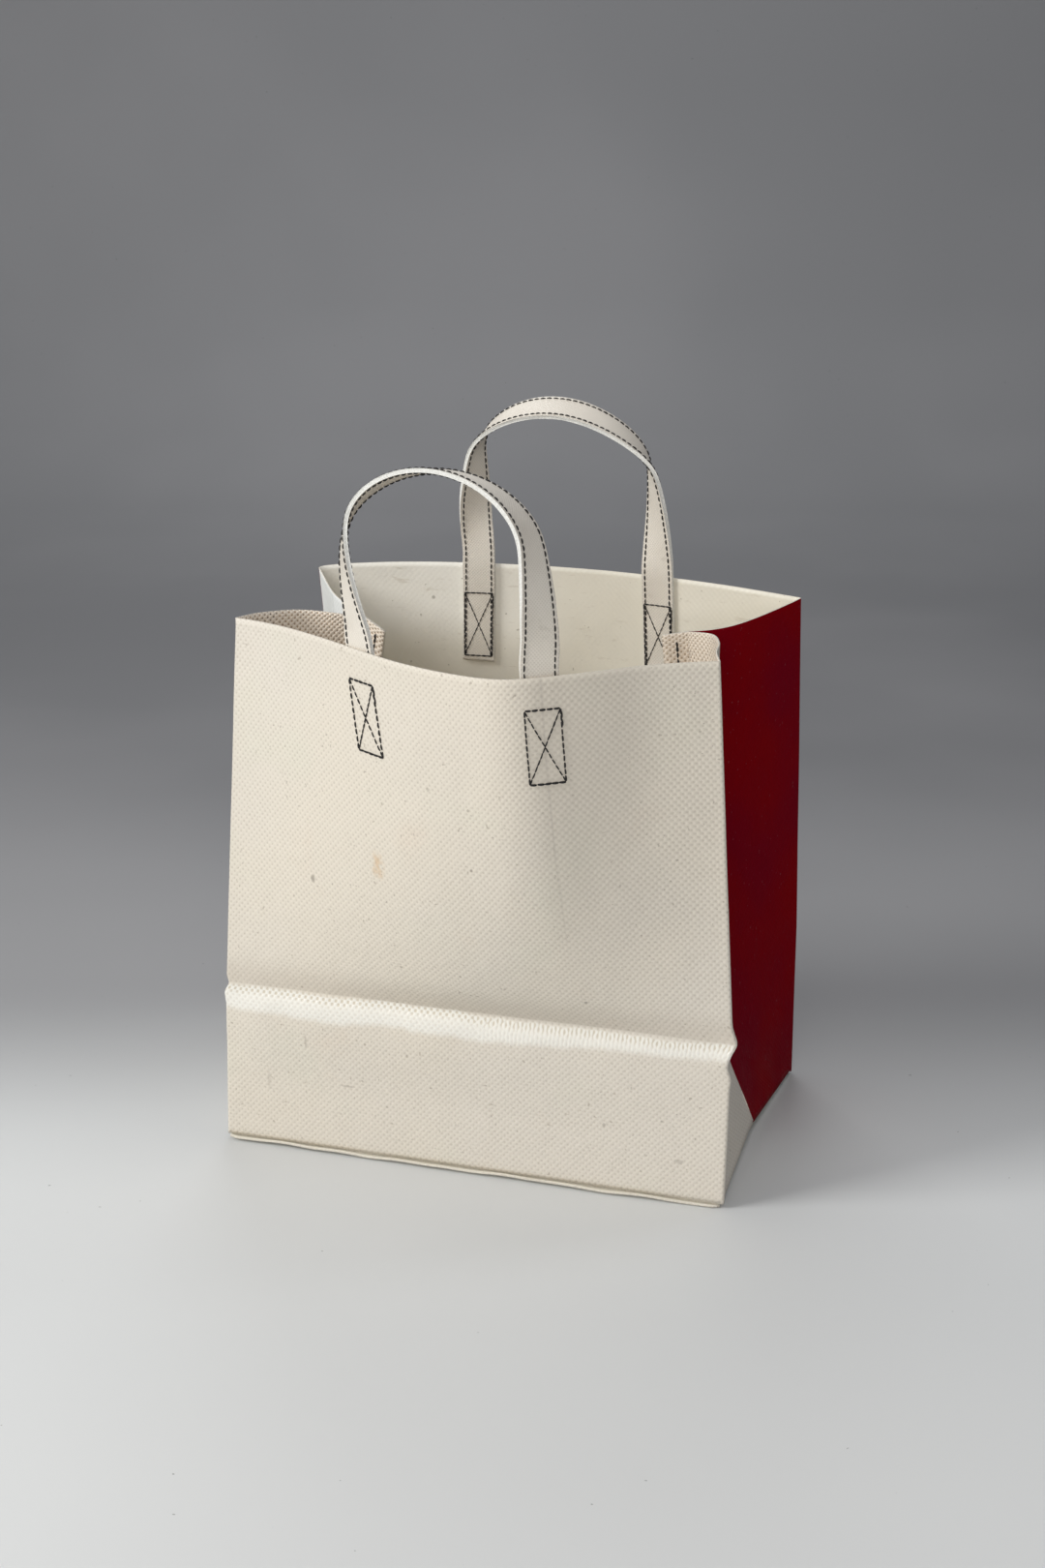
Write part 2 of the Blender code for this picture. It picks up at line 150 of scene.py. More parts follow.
def front_point(s, t):
    """The front wall with its worn crease, its crumpled corners and soft dents."""
    p = front_base(s, t)
    below = CREASE - t
    ridge = 3.3 * smooth(below, -1.5, 9.0) * (1 - smooth(below, 12.0, 55.0))
    ridge *= 1 - 0.5 * smooth(s, 20, 120)
    ridge += 0.7 * wobble(s, 0, 26, 1) * hump(below, 9, 12)
    ridge *= mix(0.2, 1.0, smooth(s, -HALF_WIDTH, -HALF_WIDTH + 25))
    right = hump(s, HALF_WIDTH, 9)
    crumple = 2.2 * hump(t, CREASE + 1, 4.5) - 1.3 * hump(t, CREASE - 11, 4)
    crumple += 0.6 * hump(t, CREASE - 18, 3)
    left = hump(s, -HALF_WIDTH, 9) * (hump(t, CREASE, 2.5) - 0.6 * hump(t, CREASE - 6, 3))
    dent = 0.55 * wobble(s, t, 38, 2) + 0.18 * wobble(s, t, 11, 3)
    # The fold runs down from the right strap.
    past_fold = s - FRONT_LEGS[1] - FRONT_SLANTS[1] * (FRONT_HEIGHT - t)
    fold = (4.4 * hump(past_fold, -16, 20) - 0.28 * hump(past_fold, 0, 1.6)) * smooth(t, 110, 235)
    pinch = -2.4 * hump(s, 98, 19) * smooth(t, 150, 240)
    fade = smooth(t, 2.0, 12.0)
    p.y -= (ridge + right * 1.4 * hump(t, CREASE - 8, 8) + dent + fold + pinch) * fade
    p.x += (right * crumple + 1.4 * left) * fade
    p.z -= smooth(s, 60, HALF_WIDTH) * 0.8 * hump(t, CREASE, 5)
    return p


def back_point(s, t):
    p = back_base(s, t)
    p.y += (0.9 * wobble(s, t, 45, 5) + 0.2 * wobble(s, t, 12, 6)) * smooth(t, 2.0, 20.0)
    return p


def curve(points, q):
    """Catmull-Rom through points, q from 0 to 1."""
    spans = len(points) - 1
    i = min(int(clamp(q) * spans), spans - 1)
    f = clamp(q) * spans - i
    a, b, c, d = (Vector(points[clamp(j, 0, spans)]) for j in (i - 1, i, i + 1, i + 2))
    bend, twist = 2 * a - 5 * b + 4 * c - d, 3 * (b - c) + d - a
    return 0.5 * (2 * b + (c - a) * f + bend * f * f + twist * f**3)


# Rims of the gusset halves, from the bag's corner to the valley, by side and facing.
RIMS = {
    (-1, -1): [(-119.3, -78.5, 272.8), (-116, -58, 272.2), (-104, -39, 271), (-88, -32, 269),
               (-72, -29, 266.5)],
    (1, -1): [(122.9, -88.5, 270), (116.5, -67, 269.5), (112.5, -44, 268.8), (103.5, -20, 267.5),
              (90, -13.5, 266.6)],
    (-1, 1): [(-131, 52.2, 275), (-119, 33, 273), (-105, 11, 271), (-88, -10, 269),
              (-72, -27.5, 266.5)],
    (1, 1): [(131, 63, 271.6), (122, 36, 270), (111.5, 9, 268.5), (101, -5, 267.3),
             (90, -12.3, 266.6)],
}
# Top corner of each seam allowance, and the valleys from the floor up.
FREE_ENDS = {-1: Vector((-58.5, -35.5, 261.5)), 1: Vector((78.5, -18.5, 265.0))}
VALLEYS = {
    -1: [(-127, 5, 4), (-124.5, 3, 18), (-118, 1, 42), (-105, -2, 84), (-95, -8, 150),
         (-83, -17, 215), (-72, -28, 266.5)],
    1: [(126.8, 6, 4), (123.0, 3, 18), (113.5, 1, 40), (104, -2, 84), (99, -5, 150),
        (94, -9, 215), (90, -13, 266.6)],
}
VALLEY_FOOT, VALLEY_TOP = 4.0, 266.5
LOWEST = 1.1


def along_valley(side, t):
    """Point of the gusset's valley at height t of the sheet."""
    points = VALLEYS[side]
    last = len(points) - 1
    low = next((i for i in range(last) if t <= points[i + 1][2]), last - 1)
    f = clamp((t - points[low][2]) / (points[low + 1][2] - points[low][2]))
    return curve(points, (low + f) / last)


def gusset_point(corner, side, facing, q, t, top):
    """q runs from 0 at the bag's corner to 1 at the valley and 2 at the allowance's free edge."""

    def on_valley(t):
        return along_valley(side, VALLEY_FOOT + (t - LOWEST) * (VALLEY_TOP - VALLEY_FOOT) / (top - LOWEST))

    apart = Vector((0.0, facing * 0.5, 0.0))
    if q > 1:
        k = smooth(t, 20, top)
        tail = Vector((-side, -0.35, 0.0)).normalized() * ALLOWANCE + Z * (4.0 * (1 - k))
        tail = tail.lerp(FREE_ENDS[side] - along_valley(side, VALLEY_TOP), k**3)
        return on_valley(t) + apart + tail * (q - 1)
    fold = 40.0
    if t < fold * q:
        foot = corner(side * HALF_WIDTH, 1.3)
        low, high = on_valley(LOWEST) + apart, on_valley(fold) + apart
        return foot + (low - foot) * q + (high - low) * (t / fold)
    edge = corner(side * HALF_WIDTH, t)
    straight = edge.lerp(on_valley(t) + apart, q)
    above_fold = fold + (t - fold * q) * (top - fold) / (top - fold * q)
    straight.x = mix(edge.x, on_valley(above_fold).x, q)
    rim = RIMS[(side, facing)]
    ends = Vector(rim[0]).lerp(Vector(rim[-1]), q)
    bow = (curve(rim, q) - ends) * rise(t, top) ** 1.5
    ripple = 0.5 * wobble(q * GUSSET, t, 30, 11 + side + facing) * math.sin(math.pi * q)
    return straight + bow + Vector((side * ripple, 0.0, 0.0))


def sheet_point(corner, cut, facing, a, t):
    """Point of a whole sheet, a mm across from the middle of its wall. Folds are rounded."""
    side, m = (-1 if a < 0 else 1), abs(a)
    edge_height = cut(side * HALF_WIDTH)

    def raw(m):
        if m <= HALF_WIDTH:
            return corner(side * m, t)
        q = (m - HALF_WIDTH) / GUSSET
        if q > 1:
            q = 1 + (m - HALF_WIDTH - GUSSET) / ALLOWANCE
        top = mix(edge_height, SEAM_HEIGHT, clamp(q))
        return gusset_point(corner, side, facing, q, t * top / edge_height, top)

    for fold, radius in ((HALF_WIDTH, 1.7), (HALF_WIDTH + GUSSET, 1.0)):
        if abs(m - fold) < radius:
            f = (m - fold + radius) / (2 * radius)
            ends = raw(fold - radius), raw(fold), raw(fold + radius)
            return ends[0] * (1 - f) ** 2 + ends[1] * 2 * f * (1 - f) + ends[2] * f * f
    return raw(m)


# ---- mesh helpers -------------------------------------------------------------------------------


def new_mesh(name, verts, faces):
    mesh = bpy.data.meshes.new(name)
    mesh.from_pydata([tuple(v * MM) for v in verts], [], faces)
    mesh.validate()
    mesh.polygons.foreach_set("use_smooth", [True] * len(mesh.polygons))
    item = bpy.data.objects.new(name, mesh)
    bpy.context.scene.collection.objects.link(item)
    return item


def grid_mesh(name, columns, rows, place, flip):
    """A sheet's middle surface over columns x rows, with those two as a UV map in metres."""
    verts = [place(a, t) for t in rows for a in columns]
    wide = len(columns)
    faces = []
    for j in range(len(rows) - 1):
        for i in range(wide - 1):
            ring = [j * wide + i, j * wide + i + 1, (j + 1) * wide + i + 1, (j + 1) * wide + i]
            faces.append(ring[::-1] if flip else ring)
    item = new_mesh(name, verts, faces)
    layer = item.data.uv_layers.new(name="cloth")
    for loop in item.data.loops:
        row, column = divmod(loop.vertex_index, wide)
        layer.data[loop.index].uv = (columns[column] * MM, rows[row] * MM)
    return item


def thicken(item, thickness, materials):
    """Outer side, inner side and cut edge take materials 0, 1 and 2."""
    for material in materials:
        item.data.materials.append(material)
    shell = item.modifiers.new("thickness", "SOLIDIFY")
    shell.thickness = thickness * MM
    shell.offset = 0.0
    shell.use_even_offset = False
    shell.material_offset = 1
    shell.material_offset_rim = 2


def steps(*stops):
    """Numbers from stops given as (start, pitch), ..., end."""
    out = []
    for (start, pitch), following in zip(stops[:-1], stops[1:]):
        end = following[0] if isinstance(following, tuple) else following
        count = max(round((end - start) / pitch), 1)
        out += [mix(start, end, i / count) for i in range(count)]
    return out + [stops[-1]]


# ---- materials ----------------------------------------------------------------------------------


class Nodes:
    """Short hand for building a material's node tree."""

    def __init__(self, name, roughness=0.5, specular=0.5):
        self.material = bpy.data.materials.new(name)
        self.material.use_nodes = True
        self.tree = self.material.node_tree
        self.shader = self.tree.nodes["Principled BSDF"]
        self.shader.inputs["Roughness"].default_value = roughness
        self.shader.inputs["Specular IOR Level"].default_value = specular

    def node(self, kind, **values):
        item = self.tree.nodes.new(kind)
        for key, value in values.items():
            setattr(item, key, value)
        return item

    def link(self, source, target):
        if isinstance(source, (int, float)):
            target.default_value = source
        elif isinstance(source, tuple):
            target.default_value = (*source, 1.0)
        else:
            self.tree.links.new(source, target)

    def math(self, op, a, b=0.0):
        item = self.node("ShaderNodeMath", operation=op)
        for value, target in zip((a, b), item.inputs):
            self.link(value, target)
        return item.outputs[0]

    def times(self, a, b):
        return self.math("MULTIPLY", a, b)

    def plus(self, a, b):
        return self.math("ADD", a, b)

    def minus(self, a, b):
        return self.math("SUBTRACT", a, b)

    def uv(self):
        """The cloth's own coordinates: metres across from the middle, and metres up."""
        split = self.node("ShaderNodeSeparateXYZ")
        self.link(self.node("ShaderNodeUVMap", uv_map="cloth").outputs[0], split.inputs[0])
        return split.outputs[0], split.outputs[1]

    def noise(self, scale, detail=2.0, rough=0.5, space="Object", stretch=None):
        item = self.node("ShaderNodeTexNoise")
        item.inputs["Scale"].default_value = scale
        item.inputs["Detail"].default_value = detail
        item.inputs["Roughness"].default_value = rough
        source = self.node("ShaderNodeTexCoord").outputs[space]
        if stretch:
            scaled = self.node("ShaderNodeVectorMath", operation="MULTIPLY")
            self.link(source, scaled.inputs[0])
            scaled.inputs[1].default_value = stretch
            source = scaled.outputs[0]
        self.link(source, item.inputs["Vector"])
        return item.outputs["Fac"]

    def between(self, value, low, high, out_low=0.0, out_high=1.0):
        """out_low at low and out_high at high, eased, and held outside them."""
        item = self.node("ShaderNodeMapRange", interpolation_type="SMOOTHSTEP", clamp=True)
        for source, key in ((value, "Value"), (low, "From Min"), (high, "From Max"),
                            (out_low, "To Min"), (out_high, "To Max")):
            self.link(source, item.inputs[key])
        return item.outputs["Result"]

    def blend(self, factor, a, b):
        item = self.node("ShaderNodeMix", data_type="RGBA")
        for source, index in ((factor, 0), (a, 6), (b, 7)):
            self.link(source, item.inputs[index])
        return item.outputs[2]

    def finish(self, colour, height=None, distance=0.0002, strength=1.0, roughness=None):
        self.link(colour, self.shader.inputs["Base Color"])
        if roughness is not None:
            self.link(roughness, self.shader.inputs["Roughness"])
        if height is not None:
            bump = self.node("ShaderNodeBump")
            bump.inputs["Distance"].default_value = distance
            bump.inputs["Strength"].default_value = strength
            self.link(height, bump.inputs["Height"])
            self.link(bump.outputs[0], self.shader.inputs["Normal"])
        return self.material


def lattice(n, x, y, across=YARN_ACROSS, up=YARN_UP):
    """The plain weave's staggered crowns: 1 on a crown, -1 between them."""
    first = n.math("COSINE", n.times(x, math.pi / (across * MM)))
    second = n.math("COSINE", n.times(y, math.pi / (up * MM)))
    return n.times(first, second)


def spot(n, x, y, at, size):
    """1 at a place on the sheet, 0 outside size, in mm."""
    dx = n.math("DIVIDE", n.minus(x, at[0] * MM), size[0] * MM)
    dy = n.math("DIVIDE", n.minus(y, at[1] * MM), size[1] * MM)
    far = n.plus(n.times(dx, dx), n.times(dy, dy))
    return n.between(far, 1.0, 0.0)


CREAM = (0.725, 0.668, 0.57)
RIB_PITCH = 2.1
# Marks on the front sheet: place and half size in mm, and darkness.
MARKS = (
    ((-79, 150), (1.6, 2.6), 0.6), ((15, 178), (1.0, 1.0), 0.6), ((62, 104), (1.2, 1.2), 0.6),
    ((-6, 214), (1.2, 1.4), 0.35), ((-86, 60), (0.9, 5.0), 0.3), ((-64, 38), (5.0, 0.8), 0.3),
    ((-107, 36), (1.0, 7.0), 0.18), ((108, 22), (3.4, 1.6), 0.3), ((70, 36), (1.2, 1.4), 0.4),
)
# Scratches inside the back sheet, fanning down from one point: slope and half width in metres.
SCRATCH_FOOT = (-0.083, 0.241)
SCRATCHES = ((-0.62, 0.0007), (0.62, 0.0007), (-0.35, 0.0005), (1.0, 0.0005))


def front_marks(n, x, y, colour):
    """The front sheet's stain, marks and specks, and painted shade along its fold: a dark line in the crease
    and a darker strip to its right.
    """
    stain = n.times(spot(n, x, y, (-38, 168), (5, 9)), n.between(n.noise(260.0, 3.0), 0.35, 0.6))
    colour = n.blend(n.times(stain, 0.55), colour, (0.63, 0.42, 0.22))
    for at, size, dark in MARKS:
        colour = n.blend(n.times(spot(n, x, y, at, size), dark), colour, (0.20, 0.17, 0.14))
    specks = n.between(n.noise(420.0, 1.0), 0.735, 0.76, 0.0, 0.5)
    colour = n.blend(specks, colour, (0.30, 0.25, 0.2))
    past_fold = n.plus(n.minus(x, 0.0625), n.times(y, FRONT_SLANTS[1]))
    # A dark line along the fold's crease: painted shade.
    line = n.between(n.math("ABSOLUTE", past_fold), 0.0009, 0.0, 0.0, 0.3)
    colour = n.blend(n.times(line, n.between(y, 0.11, 0.2)), colour, (0.34, 0.30, 0.27))
    # Darker just right of the fold, where the wall turns away from the light: painted shade.
    painted_fold_shade = n.times(n.between(past_fold, -0.012, 0.004, 0.0, 0.5), n.between(past_fold, 0.06, 0.012))
    return n.blend(n.times(painted_fold_shade, n.between(y, 0.10, 0.19)), colour, (0.56, 0.515, 0.44))


def front_outside():
    """Cream coating over a plain weave: dotted, with wear and a painted highlight under the crease, stained
    and specked.
    """
    n = Nodes("front sheet outside", roughness=0.5, specular=0.42)
    x, y = n.uv()
    crowns = lattice(n, x, y)
    cloud = n.noise(22.0, 4.0, 0.6)
    colour = n.blend(n.between(n.noise(7.0, 3.0), 0.35, 0.65), CREAM, (0.70, 0.652, 0.572))
    greener = n.between(n.noise(5.0, 2.0, space="Generated"), 0.5, 0.75, 0.0, 0.35)
    colour = n.blend(greener, colour, (0.68, 0.665, 0.55))
    colour = n.blend(n.between(cloud, 0.6, 0.8, 0.0, 0.4), colour, (0.70, 0.60, 0.50))
    worn_dots = n.plus(crowns, n.times(n.noise(190.0, 2.0), 0.9))
    colour = n.blend(n.between(worn_dots, 0.15, -0.4, 0.0, 0.34), colour, (0.40, 0.345, 0.27))
    colour = front_marks(n, x, y, colour)

    # The band of wear and painted highlight hangs from the crease with a ragged lower edge, narrower to the
    # right.
    ragged = n.plus(y, n.times(n.noise(30.0, 4.0, 0.6, stretch=(1, 0.2, 0.2)), 0.012))
    low_edge = n.between(x, -0.02, 0.09, 0.077, 0.0815)
    wear_and_sheen = n.times(n.between(ragged, 0.0925, 0.0905), n.between(ragged, low_edge, n.plus(low_edge, 0.0045)))
    wear_and_sheen = n.times(wear_and_sheen, n.between(n.math("ABSOLUTE", x), 0.136, 0.130))
    # Darker just above the crease: painted shade of the fold.
    above = n.times(n.between(y, 0.0855, 0.0875), n.between(y, 0.106, 0.089))
    colour = n.blend(n.times(above, 0.30), colour, (0.40, 0.34, 0.27))
    # To its right the crowns run together into ribs.
    shaken = n.plus(x, n.times(n.noise(120.0, 2.0), 0.0016))
    ribs = n.math("COSINE", n.times(shaken, 2 * math.pi / (RIB_PITCH * MM)))
    ribbed = n.times(wear_and_sheen, n.between(x, -0.02, 0.03, 0.0, 0.62))
    crowns = n.plus(crowns, n.times(n.minus(ribs, crowns), ribbed))
    # The band's pale colour is a painted highlight over its pattern of wear.
    band_sheen_and_wear = n.blend(n.between(crowns, -0.7, 0.0), (0.78, 0.755, 0.69), (0.86, 0.85, 0.79))
    beige = n.times(n.between(crowns, 0.2, -0.5), n.between(ragged, 0.0865, 0.0895, 0.0, 0.55))
    colour = n.blend(n.times(wear_and_sheen, 0.8), colour, n.blend(beige, band_sheen_and_wear, (0.46, 0.38, 0.25)))
    roughness = n.minus(n.between(cloud, 0.3, 0.7, 0.44, 0.56), n.times(wear_and_sheen, 0.24))
    height = n.plus(crowns, n.times(n.noise(900.0, 2.0), 0.25))
    return n.finish(colour, height, distance=0.00012, strength=0.75, roughness=roughness)


def scrim():
    """The front sheet's inside: bare tan weave with dark holes between the yarns, paler at the right."""
    n = Nodes("front sheet inside", roughness=0.75, specular=0.3)
    x, y = n.uv()
    crowns = lattice(n, x, y)
    wear = n.noise(60.0, 3.0)
    colour = n.blend(n.noise(14.0, 3.0), (0.86, 0.76, 0.64), (0.90, 0.82, 0.71))
    holes = n.between(n.plus(crowns, n.times(wear, 0.5)), -0.1, -0.5)
    hole = n.blend(n.between(wear, 0.45, 0.65), (0.36, 0.25, 0.16), (0.10, 0.06, 0.035))
    hole = n.blend(n.between(x, 0.05, 0.1), hole, (0.45, 0.35, 0.25))
    colour = n.blend(n.times(holes, 0.85), colour, hole)
    return n.finish(colour, crowns, distance=0.00025)


def smooth_inside():
    """The back sheet's inside: smooth cream coating, scuffed, with the weave faintly telegraphed and a
    painted patch of light at its upper left.
    """
    n = Nodes("back sheet inside", roughness=0.42, specular=0.45)
    x, y = n.uv()
    crowns = lattice(n, x, y)
    colour = n.blend(n.between(n.noise(9.0, 4.0), 0.3, 0.7), (0.75, 0.71, 0.60), (0.81, 0.775, 0.68))
    # Paler at the upper left of the inside: painted light, not the coating's colour.
    painted_light_patch = n.times(n.between(x, 0.01, -0.06, 0.0, 0.85), n.between(y, 0.225, 0.25))
    colour = n.blend(painted_light_patch, colour, (0.92, 0.90, 0.83))
    scuffs = n.between(n.noise(60.0, 5.0, 0.65, stretch=(1, 1, 4)), 0.60, 0.70, 0.0, 0.4)
    colour = n.blend(scuffs, colour, (0.56, 0.50, 0.40))
    specks = n.between(n.noise(300.0, 1.0), 0.76, 0.78, 0.0, 0.5)
    colour = n.blend(specks, colour, (0.3, 0.26, 0.2))
    down = n.minus(SCRATCH_FOOT[1], y)
    for slope, width in SCRATCHES:
        off = n.minus(n.plus(x, -SCRATCH_FOOT[0]), n.times(down, slope))
        scratch = n.between(n.math("ABSOLUTE", off), width, 0.0, 0.0, 0.55)
        scratch = n.times(n.times(scratch, n.between(down, 0.0, 0.003)), n.between(down, 0.03, 0.012))
        colour = n.blend(scratch, colour, (0.82, 0.79, 0.70))
    colour = n.blend(n.times(spot(n, x, y, (-74, 258), (1.3, 1.3)), 0.6), colour, (0.2, 0.17, 0.14))
    height = n.plus(n.times(crowns, 0.4), n.noise(150.0, 4.0))
    roughness = n.between(n.noise(40.0, 3.0), 0.3, 0.7, 0.34, 0.5)
    return n.finish(colour, height, distance=0.00008, roughness=roughness)


def back_outside():
    """Wine red print, glossy, that ends at the left edge in bluish white."""
    n = Nodes("back sheet outside", roughness=0.3, specular=0.05)
    n.shader.inputs["IOR"].default_value = 1.15
    x, y = n.uv()
    crowns = lattice(n, x, y)
    cloud = n.noise(16.0, 3.0)
    red = n.blend(n.between(cloud, 0.3, 0.7), (0.21, 0.001, 0.004), (0.17, 0.001, 0.009))
    flecks = n.between(n.noise(500.0, 1.0), 0.72, 0.76, 0.0, 0.5)
    red = n.blend(flecks, red, (0.22, 0.05, 0.06))
    pale = n.blend(n.between(cloud, 0.3, 0.7), (0.70, 0.71, 0.68), (0.76, 0.77, 0.75))
    pale = n.blend(n.between(crowns, 0.1, -0.7, 0.0, 0.25), pale, (0.5, 0.5, 0.48))
    edge = n.plus(x, n.times(n.noise(30.0), 0.002))
    colour = n.blend(n.between(edge, -0.1330, -0.1325), pale, red)
    height = n.plus(n.times(crowns, 0.5), n.noise(120.0, 3.0))
    roughness = n.between(n.noise(50.0, 4.0), 0.35, 0.65, 0.26, 0.4)
    return n.finish(colour, height, distance=0.00006, roughness=roughness)


def cut_edge(name, pale, dark):
    """Raw fibres where a sheet or strap was cut."""
    n = Nodes(name, roughness=0.7, specular=0.3)
    fibres = n.noise(1400.0, 2.0)
    colour = n.blend(n.between(fibres, 0.35, 0.65), dark, pale)
    return n.finish(colour, fibres, distance=0.0001)


def strap_face():
    """Coated strap sheet: warm cream, a fine square weave, handled and slightly dirty."""
    n = Nodes("strap face", roughness=0.5, specular=0.4)
    x, y = n.uv()
    crowns = lattice(n, x, y, 0.82, 0.87)
    colour = n.blend(n.between(n.noise(30.0, 4.0), 0.3, 0.7), (0.70, 0.65, 0.57), (0.78, 0.735, 0.655))
    colour = n.blend(n.between(crowns, 0.0, -0.8, 0.0, 0.28), colour, (0.42, 0.37, 0.31))
    dirt = n.between(n.noise(110.0, 4.0, 0.6), 0.62, 0.75, 0.0, 0.4)
    colour = n.blend(dirt, colour, (0.50, 0.45, 0.38))
    roughness = n.between(n.noise(60.0, 3.0), 0.3, 0.7, 0.42, 0.6)
    return n.finish(colour, crowns, distance=0.00006, roughness=roughness)


def thread_material():
    """Black sewing thread, its plies showing as fine bumps."""
    n = Nodes("black thread", roughness=0.7, specular=0.3)
    ply = n.noise(2500.0, 2.0)
    colour = n.blend(ply, (0.008, 0.008, 0.009), (0.035, 0.033, 0.032))
    return n.finish(colour, ply, distance=0.0001)


FRONT_OUT, FRONT_IN = front_outside(), scrim()
BACK_OUT, BACK_IN = back_outside(), smooth_inside()
SHEET_EDGE = cut_edge("front sheet cut edge", (0.72, 0.68, 0.60), (0.58, 0.54, 0.46))
STRAP_FACE = strap_face()
STRAP_EDGE = cut_edge("strap raw edge", (0.80, 0.80, 0.77), (0.68, 0.68, 0.64))
THREAD_BLACK = thread_material()


# ---- the two sheets -----------------------------------------------------------------------------

FOLD_IN, SEAM, FREE_EDGE = HALF_WIDTH, HALF_WIDTH + GUSSET, HALF_WIDTH + GUSSET + ALLOWANCE
# Closer columns at the folds, closer rows at the crease.
COLUMNS = steps((-FREE_EDGE, 3.0), (-(SEAM + 1.2), 0.4), (-(SEAM - 1.2), 3.2), (-(FOLD_IN + 2.0), 0.5),
                (-(FOLD_IN - 2.0), 2.6), (FOLD_IN - 2.0, 0.5), (FOLD_IN + 2.0, 3.2), (SEAM - 1.2, 0.4),
                (SEAM + 1.2, 3.0), FREE_EDGE)


def make_sheets():
    """The front and back sheet, each one shell of wall and gusset halves."""
    tuck = 4.0
    for name, corner, cut, facing, foot, full, materials in (
        ("front_sheet", front_point, front_height, -1, 2.5, FRONT_HEIGHT, (FRONT_OUT, FRONT_IN, SHEET_EDGE)),
        ("back_sheet", back_point, back_height, 1, 1.3, BACK_HEIGHT, (BACK_OUT, BACK_IN, SHEET_EDGE)),
    ):
        rows = steps((foot, 2.6), (CREASE - 6, 0.9), (CREASE + 5, 2.8), full)

        def place(a, t, corner=corner, cut=cut, facing=facing, full=full):
            top = cut(clamp(a, -HALF_WIDTH, HALF_WIDTH))
            stretched = t + (top - full) * smooth(t, CREASE + 8, full)
            p = sheet_point(corner, cut, facing, a, stretched)
            if abs(a) < HALF_WIDTH - 1:
                p.y -= facing * smooth(tuck - t, 0.0, 1.4) * 0.6
            return p

        item = grid_mesh(name, COLUMNS, rows, place, facing > 0)
        thicken(item, SHEET, materials)
        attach(item, "bag")
    sides = ("left", "right")
    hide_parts("front_panel", "front_lower_panel", *(f"{side}_gusset_front_half" for side in sides))
    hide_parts("back_panel", "back_lower_panel", *(f"{side}_gusset_back_half" for side in sides))


def tucked(a, y):
    """The bottom's sides curve in between the corners, so the floor shows under the gussets."""
    return a * (1 - 0.035 * max(1 - (y / HALF_DEPTH) ** 2, 0.0))


def make_flaps():
    """The front flap, and the back flap under it, whose free edge shows as a lip in front."""
    reach = HALF_WIDTH - 2.0
    deep, short = 2 * HALF_DEPTH, 116.0

    def back_place(a, t):
        front = -HALF_DEPTH - 2.6 + 0.5 * wobble(a, 0, 30, 21)
        front = front + 1.6 * smooth(abs(a), reach - 5, reach) ** 2 + 1.8 * smooth(a, 70, reach)
        y = mix(front, HALF_DEPTH - 1.5, t / deep)
        curl = (1 - smooth(t, 0.0, 7.0)) * (1.5 + 1.1 * wobble(a, 4, 24, 22))
        curl *= 1 - 0.7 * smooth(a, 60, reach)
        return Vector((tucked(a, y), y, 0.5 + max(curl, 0.0)))

    def front_place(a, t):
        z = 1.75 + 0.15 * wobble(a, t, 20, 23)
        return Vector((tucked(a, t - HALF_DEPTH), t - HALF_DEPTH + 1.2, z))

    columns = steps((-reach, 2.0), reach)
    rows = steps((0.0, 1.7), (10.0, 20.0), deep)
    back = grid_mesh("back_bottom_flap_sheet", columns, rows, back_place, True)
    thicken(back, 0.9, (BACK_IN, BACK_IN, SHEET_EDGE))
    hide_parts("back_bottom_flap")
    rows = steps((0.0, 6.0), short)
    front = grid_mesh("front_bottom_flap_sheet", columns, rows, front_place, True)
    thicken(front, SHEET, (FRONT_IN, FRONT_IN, SHEET_EDGE))
    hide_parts("front_bottom_flap")
    for item, length in ((back, deep), (front, short)):
        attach(item, "bag")


def make_ears():
    """The triangles folded in from both sides on top of the flaps."""
    deep, drawn_half, flat_long = 168.0, 84.8, 167
    for name, side in (("left", -1), ("right", 1)):
        def place(a, t, side=side):
            across = 2 * t / deep - 1
            inwards = a * mix(1 - abs(across), 1.0, 0.015)
            x = HALF_WIDTH - 2.3 - 4.5 * (1 - across * across) - inwards
            edge = 2.0 + 1.6 * (1 - abs(across))
            return Vector((side * x, across * drawn_half, mix(2.9, edge, (1 - a / GUSSET) ** 3)))

        pitch = 6.0
        item = grid_mesh(f"{name}_bottom_ear_sheet", steps((0.0, pitch), GUSSET), steps((0.0, pitch), deep),
                         place, side > 0)
        thicken(item, SHEET, (BACK_IN, BACK_IN, SHEET_EDGE))
        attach(item, "bag")
        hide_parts(f"{name}_bottom_ear")


# ---- straps -------------------------------------------------------------------------------------


def strap_end_place(point, leg, slant, height, facing):
    """A function of mm across the strap, down from the rim and out from its middle layer."""

    def place(across, down, out):
        s = leg + slant * down + across
        t = height(s) - down
        along = (point(s + 2, t) - point(s - 2, t)).normalized()
        return point(s, t) + along.cross(Z).normalized() * facing * (STRAP_OFFSET + out)

    return place


